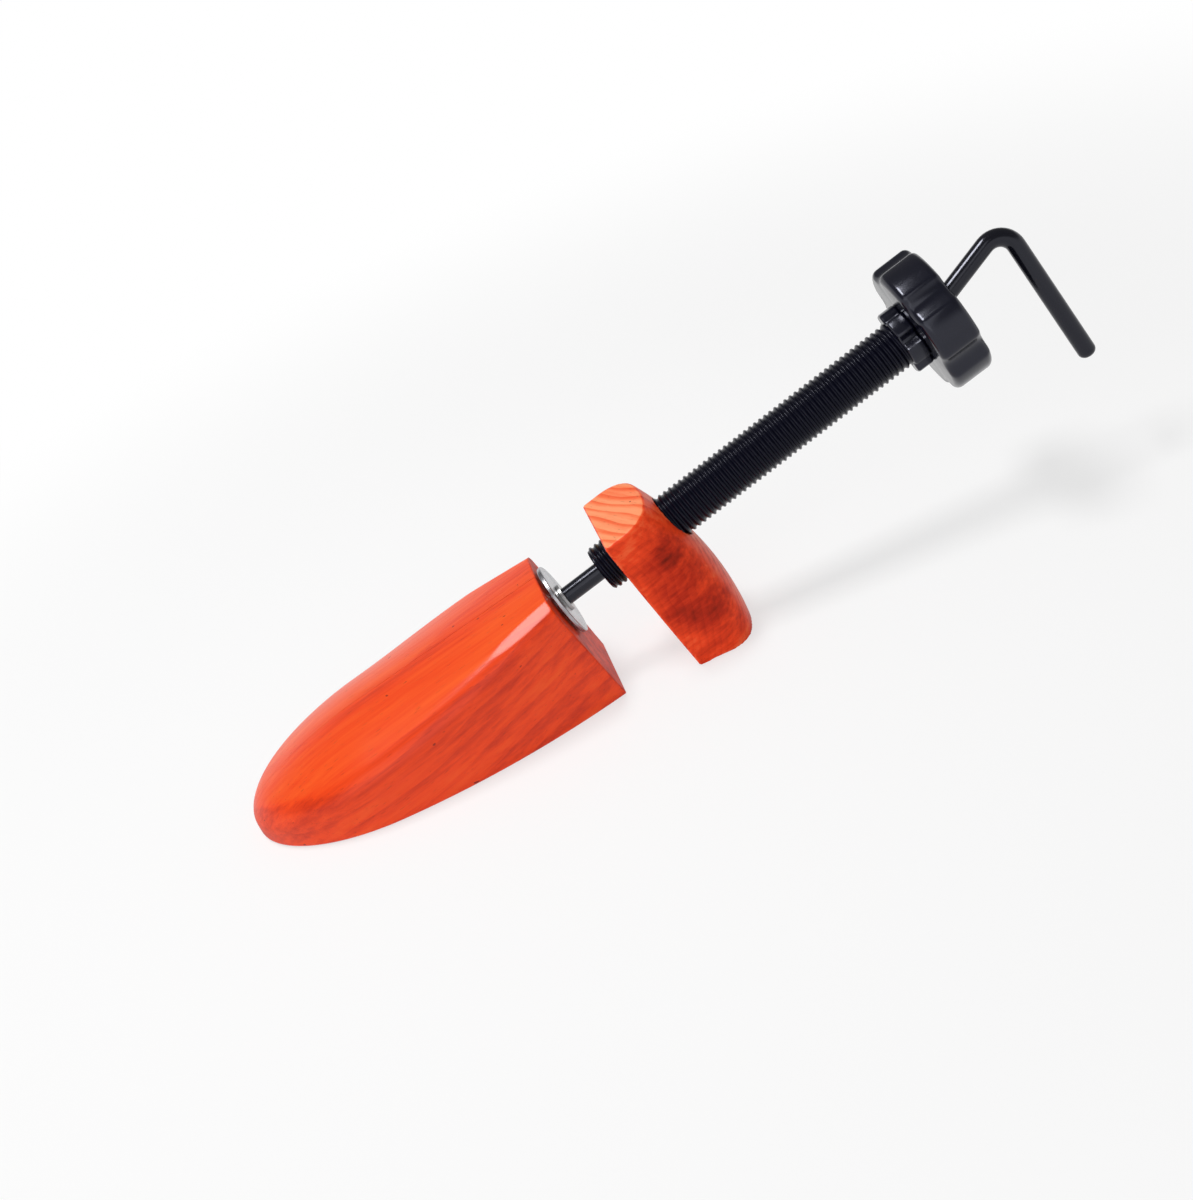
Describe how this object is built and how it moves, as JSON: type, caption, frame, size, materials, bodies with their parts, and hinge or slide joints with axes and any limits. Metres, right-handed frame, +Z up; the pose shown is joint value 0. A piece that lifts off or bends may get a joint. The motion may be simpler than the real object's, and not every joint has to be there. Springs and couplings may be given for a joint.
{
  "type": "shoe stretcher",
  "caption": "Two-way wooden shoe stretcher: split toe block widened by a crank rod and wedge, heel block driven along a threaded tube by a lobed knob.",
  "frame": {"origin": "on the floor, under the middle of the overall box at rest", "axes": "+Z up, -X towards the toe, +X towards the knob and crank, +Y to the stretcher's left"},
  "size_m": [0.3868, 0.078, 0.1172],
  "materials": {
    "wood": "satin orange-red varnish over straight grain",
    "bright_steel": "bright plated steel",
    "steel": "plain machined steel",
    "brass": "plain turned brass",
    "black_rod": "gloss black",
    "black_plastic": "moulded black plastic, soft sheen"
  },
  "bodies": {
    "toe_frame": {"spreader_yoke": "steel", "thrust_disc": "bright_steel", "guide_pins": "steel"},
    "left_half": {"toe_half_left": "wood", "ramp_rail_left": "steel", "rail_screws_left": "steel", "guide_bushes_left": "brass"},
    "right_half": {"toe_half_right": "wood", "ramp_rail_right": "steel", "rail_screws_right": "steel", "guide_bushes_right": "brass"},
    "wedge": {"wedge_nut": "steel"},
    "crank": {"crank_rod": "black_rod", "rod_clips": "steel", "end_stop": "steel", "thrust_collar": "steel", "collar_pin": "steel", "rear_clip": "steel"},
    "length_screw": {"length_tube": "black_plastic", "length_knob": "black_plastic", "lock_nut": "black_plastic", "front_washer": "steel", "front_bush": "brass", "rear_bush": "brass", "rear_washer": "steel"},
    "heel": {"heel_block": "wood", "heel_insert": "brass", "insert_screws": "steel"}
  },
  "joints": [
    {"name": "width_turn", "type": "hinge", "parent": "toe_frame", "child": "crank", "pos_m": [-0.04336, 0, 0.04], "axis": [-0.9659, 0, -0.2588], "range_deg": [0, 7200]},
    {"name": "wedge_travel", "type": "slide", "parent": "toe_frame", "child": "wedge", "axis": [0.9659, 0, 0.2588], "range_m": [0, 0.025]},
    {"name": "left_spread", "type": "slide", "parent": "toe_frame", "child": "left_half", "axis": [0, 1, 0], "range_m": [0, 0.00717]},
    {"name": "right_spread", "type": "slide", "parent": "toe_frame", "child": "right_half", "axis": [0, -1, 0], "range_m": [0, 0.00717]},
    {"name": "length_turn", "type": "hinge", "parent": "toe_frame", "child": "length_screw", "pos_m": [-0.04336, 0, 0.04], "axis": [-0.9659, 0, -0.2588], "range_deg": [-720, 14400]},
    {"name": "heel_travel", "type": "slide", "parent": "toe_frame", "child": "heel", "axis": [0.9659, 0, 0.2588], "range_m": [-0.005, 0.1]}
  ],
  "couplings": [
    {"joint": "wedge_travel", "follows": "width_turn", "m_per_rad": 0.00019894},
    {"joint": "left_spread", "follows": "width_turn", "m_per_rad": 0.000057046},
    {"joint": "right_spread", "follows": "width_turn", "m_per_rad": 0.000057046},
    {"joint": "heel_travel", "follows": "length_turn", "m_per_rad": 0.00039789}
  ]
}
